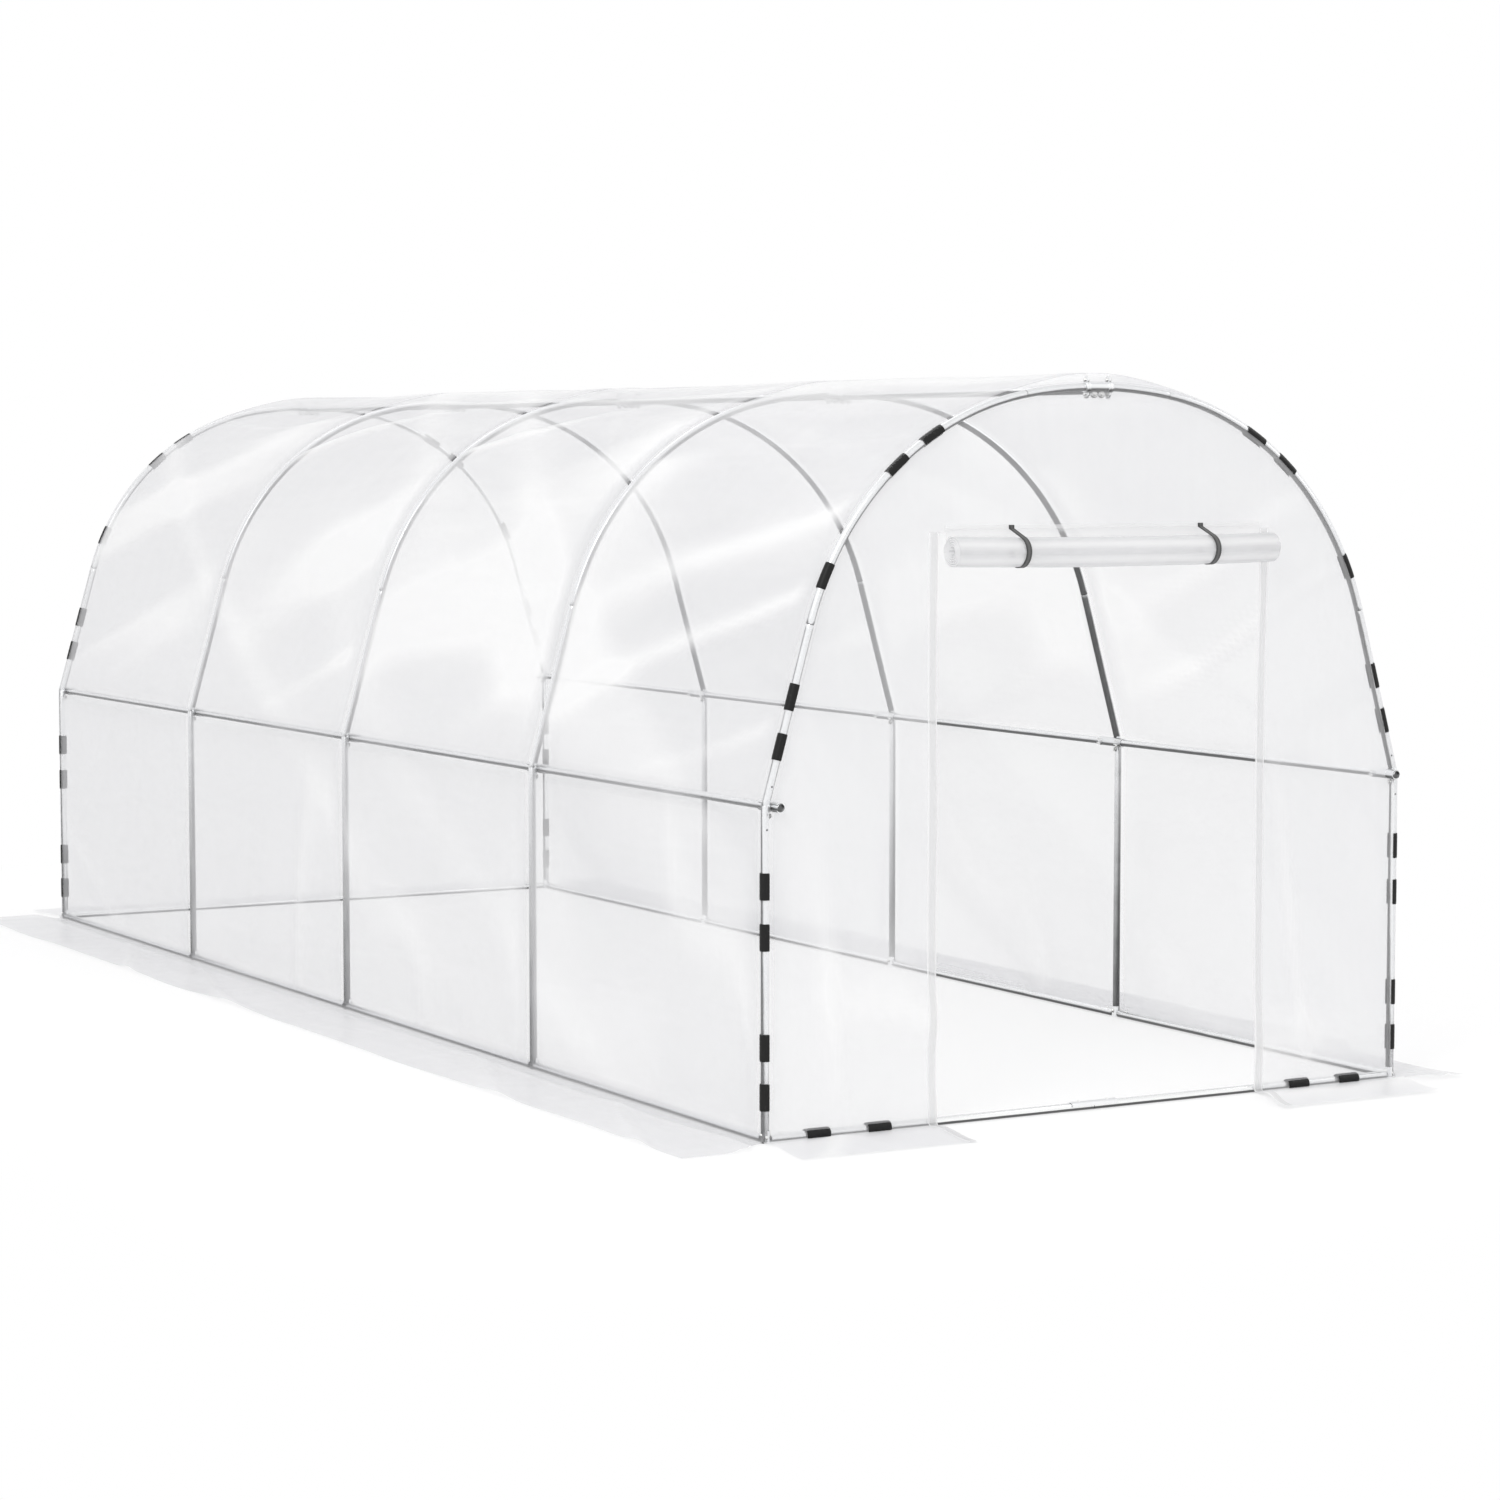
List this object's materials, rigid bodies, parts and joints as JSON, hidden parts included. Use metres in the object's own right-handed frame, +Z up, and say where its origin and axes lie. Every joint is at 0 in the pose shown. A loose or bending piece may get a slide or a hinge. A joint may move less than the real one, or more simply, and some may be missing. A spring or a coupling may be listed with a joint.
{
  "type": "polytunnel greenhouse",
  "caption": "Walk-in tunnel greenhouse with a round steel tube frame, a clear film cover with ground skirts and a rolled-up film door.",
  "frame": {"origin": "bottom centre of the bounding box, on the ground", "axes": "+X to the right seen from the doorway end, +Y along the tunnel away from the doorway, +Z up"},
  "size_m": [2.7226, 6.0546, 2.0113],
  "materials": {
    "tube": "galvanised",
    "fitting": "galvanised",
    "film": "clear film",
    "webbing": "woven",
    "clip": "satin"
  },
  "bodies": {
    "root": {"hoop_1_posts": "tube", "hoop_1_bow": "tube", "hoop_2_posts": "tube", "hoop_2_bow": "tube", "hoop_3_posts": "tube", "hoop_3_bow": "tube", "hoop_4_posts": "tube", "hoop_4_bow": "tube", "hoop_5_posts": "tube", "hoop_5_bow": "tube", "ridge_pole": "tube", "ridge_connectors": "fitting", "side_rail_left": "tube", "side_rail_right": "tube", "shoulder_clamps": "fitting", "base_rail_left": "tube", "base_rail_right": "tube", "base_rail_front": "tube", "base_rail_rear": "tube", "foot_brackets": "fitting", "base_couplers": "fitting", "cover_wall_left": "film", "cover_wall_right": "film", "cover_eave_left": "film", "cover_eave_right": "film", "cover_haunch_left": "film", "cover_haunch_right": "film", "cover_crown_left": "film", "cover_crown_right": "film", "front_panel_left": "film", "front_panel_right": "film", "front_header": "film", "rear_panel": "film", "skirt_left": "film", "skirt_right": "film", "skirt_front_left": "film", "skirt_front_right": "film", "skirt_rear": "film", "door_hem_left": "film", "door_hem_right": "film", "door_roll": "film", "door_straps": "webbing", "clips_front": "clip", "clips_rear": "clip", "clips_base": "clip"}
  },
  "joints": []
}
